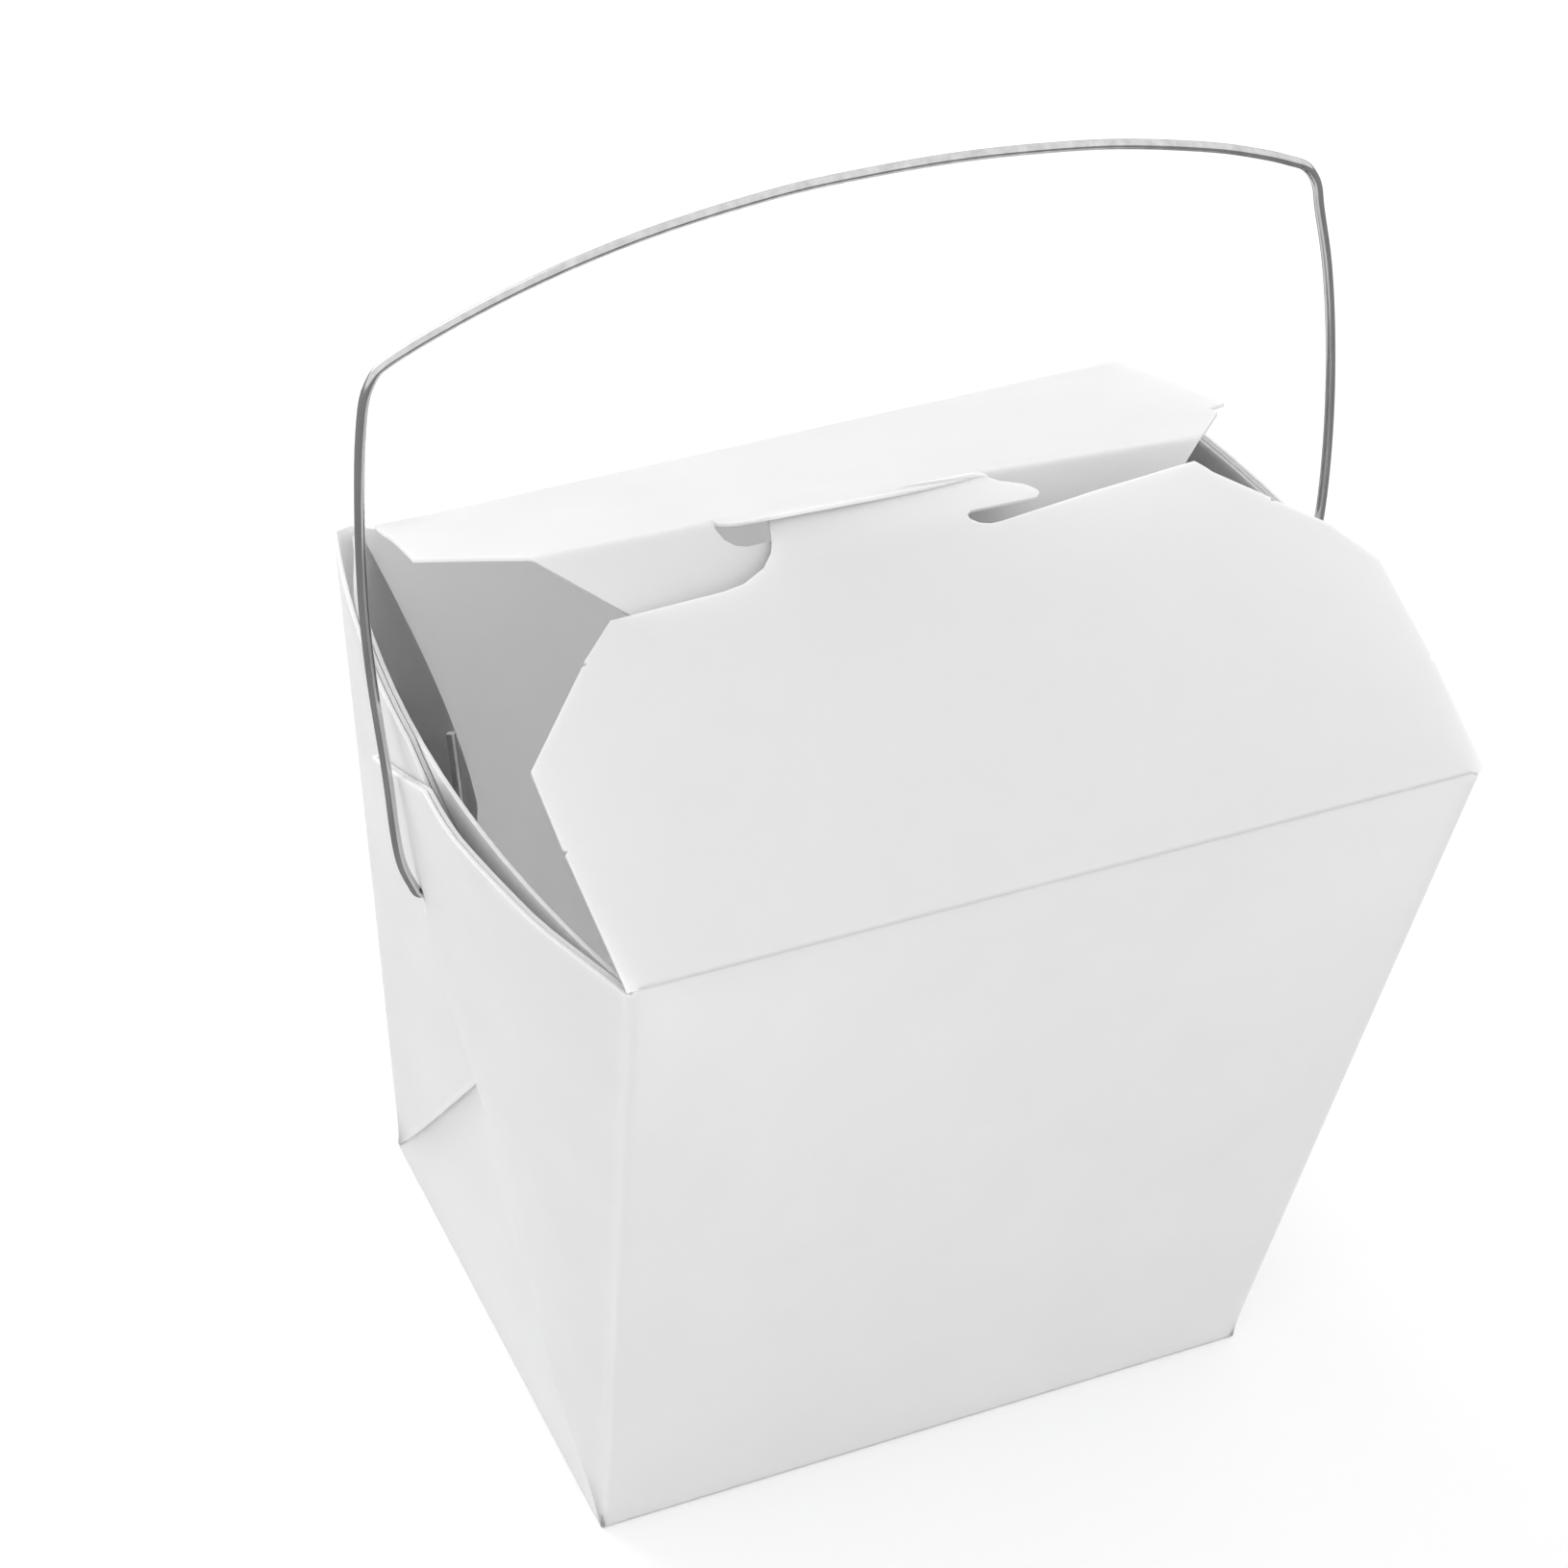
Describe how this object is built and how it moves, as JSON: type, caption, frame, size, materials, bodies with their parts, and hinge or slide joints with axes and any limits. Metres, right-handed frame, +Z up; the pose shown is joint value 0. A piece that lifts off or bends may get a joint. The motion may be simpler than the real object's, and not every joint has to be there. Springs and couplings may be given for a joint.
{
  "type": "takeout food box",
  "caption": "Folded paperboard takeout box with tapered gusseted sides, a hooked front flap that tucks under the back flap's tab, and a wire bail.",
  "frame": {"origin": "middle of the underside of the base, on the surface that the box stands on", "axes": "+Z up, -Y towards the front wall, whose top fold is the front flap's hinge, +X to the right as seen from the front"},
  "size_m": [0.1056, 0.0734, 0.137],
  "materials": {
    "board": "matte",
    "wire": "polished"
  },
  "bodies": {
    "carton": {"carton": "board"},
    "front_flap": {"front_flap": "board"},
    "wire_handle": {"wire_handle": "wire"}
  },
  "joints": [
    {"name": "front_flap_hinge", "type": "hinge", "parent": "carton", "child": "front_flap", "pos_m": [0, -0.03649, 0.0872], "axis": [1, 0, 0], "range_deg": [0, 130]},
    {"name": "bail_pivot", "type": "hinge", "parent": "carton", "child": "wire_handle", "pos_m": [0, 0.004, 0.064], "axis": [1, 0, 0], "range_deg": [-75, 120]}
  ]
}
